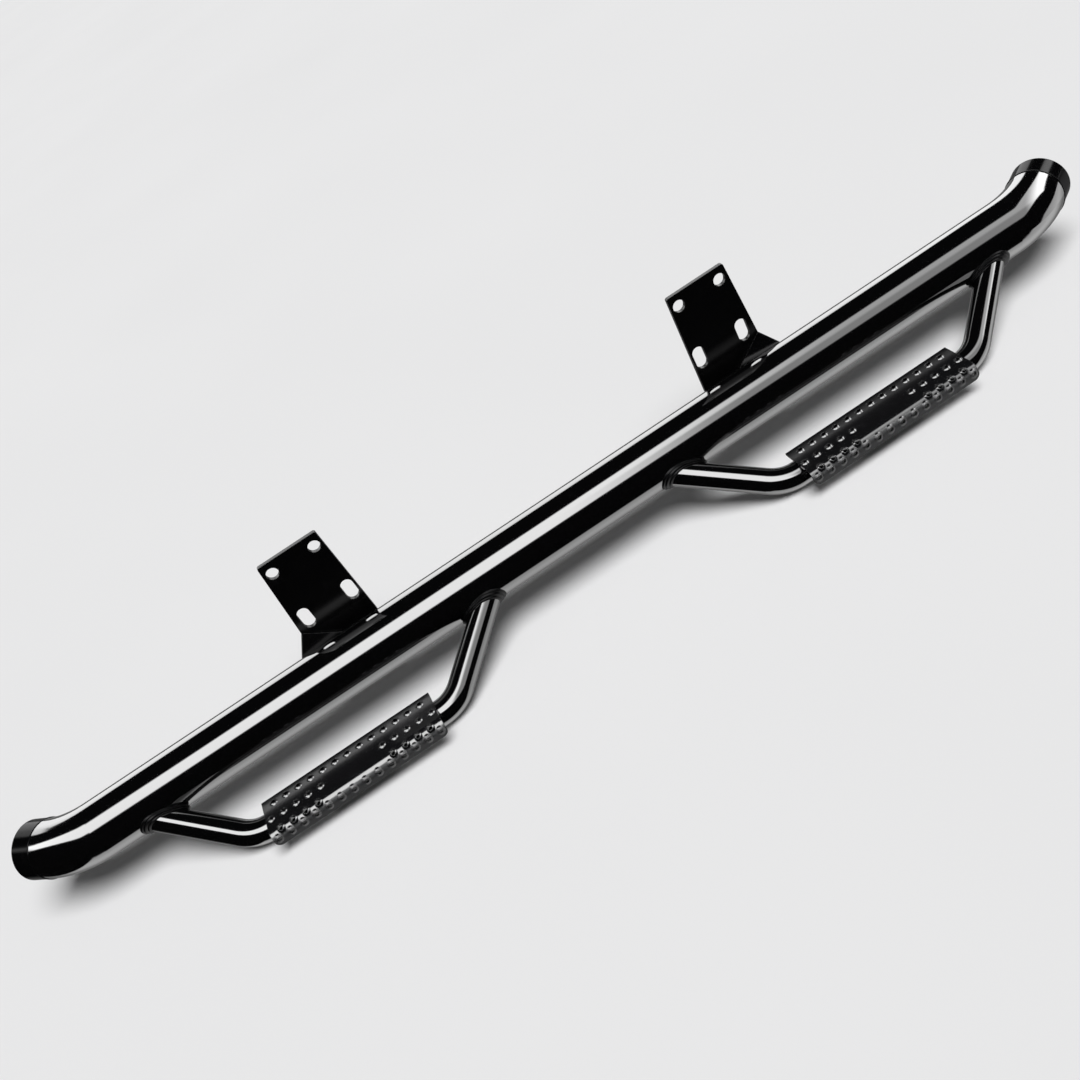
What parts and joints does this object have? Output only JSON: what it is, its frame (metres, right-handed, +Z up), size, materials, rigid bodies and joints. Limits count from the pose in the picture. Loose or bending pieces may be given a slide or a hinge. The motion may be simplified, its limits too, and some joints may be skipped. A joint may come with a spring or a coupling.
{
  "type": "truck side step",
  "caption": "Bent round side bar with drop-down hoop steps, formed pierced treads and folded mounting brackets, welded as one.",
  "frame": {"origin": "middle of the front bracket's two round holes, on the bracket's inboard face", "axes": "+X along the bar towards the vehicle's front, +Y inboard towards the vehicle, +Z up, as fitted to the vehicle's right-hand side"},
  "size_m": [1.6128, 0.2203, 0.2407],
  "materials": {
    "tube_paint": "gloss black powder coat on steel tube",
    "hoop_paint": "gloss black powder coat on steel tube",
    "bracket_paint": "gloss black powder coat on steel plate",
    "weld_paint": "gloss black powder coat over weld beads",
    "tread_paint": "satin black powder coat on pierced steel sheet"
  },
  "bodies": {
    "root": {"main_tube": "tube_paint", "front_end_cap": "tube_paint", "rear_end_cap": "tube_paint", "front_cap_weld": "weld_paint", "rear_cap_weld": "weld_paint", "front_hoop": "hoop_paint", "rear_hoop": "hoop_paint", "front_hoop_fore_weld": "weld_paint", "front_hoop_aft_weld": "weld_paint", "rear_hoop_fore_weld": "weld_paint", "rear_hoop_aft_weld": "weld_paint", "front_step_pad": "tread_paint", "rear_step_pad": "tread_paint", "front_pad_weld": "weld_paint", "rear_pad_weld": "weld_paint", "front_bracket": "bracket_paint", "rear_bracket": "bracket_paint", "front_bracket_gusset": "bracket_paint", "rear_bracket_gusset": "bracket_paint", "front_bracket_weld": "weld_paint", "rear_bracket_weld": "weld_paint"}
  },
  "joints": []
}
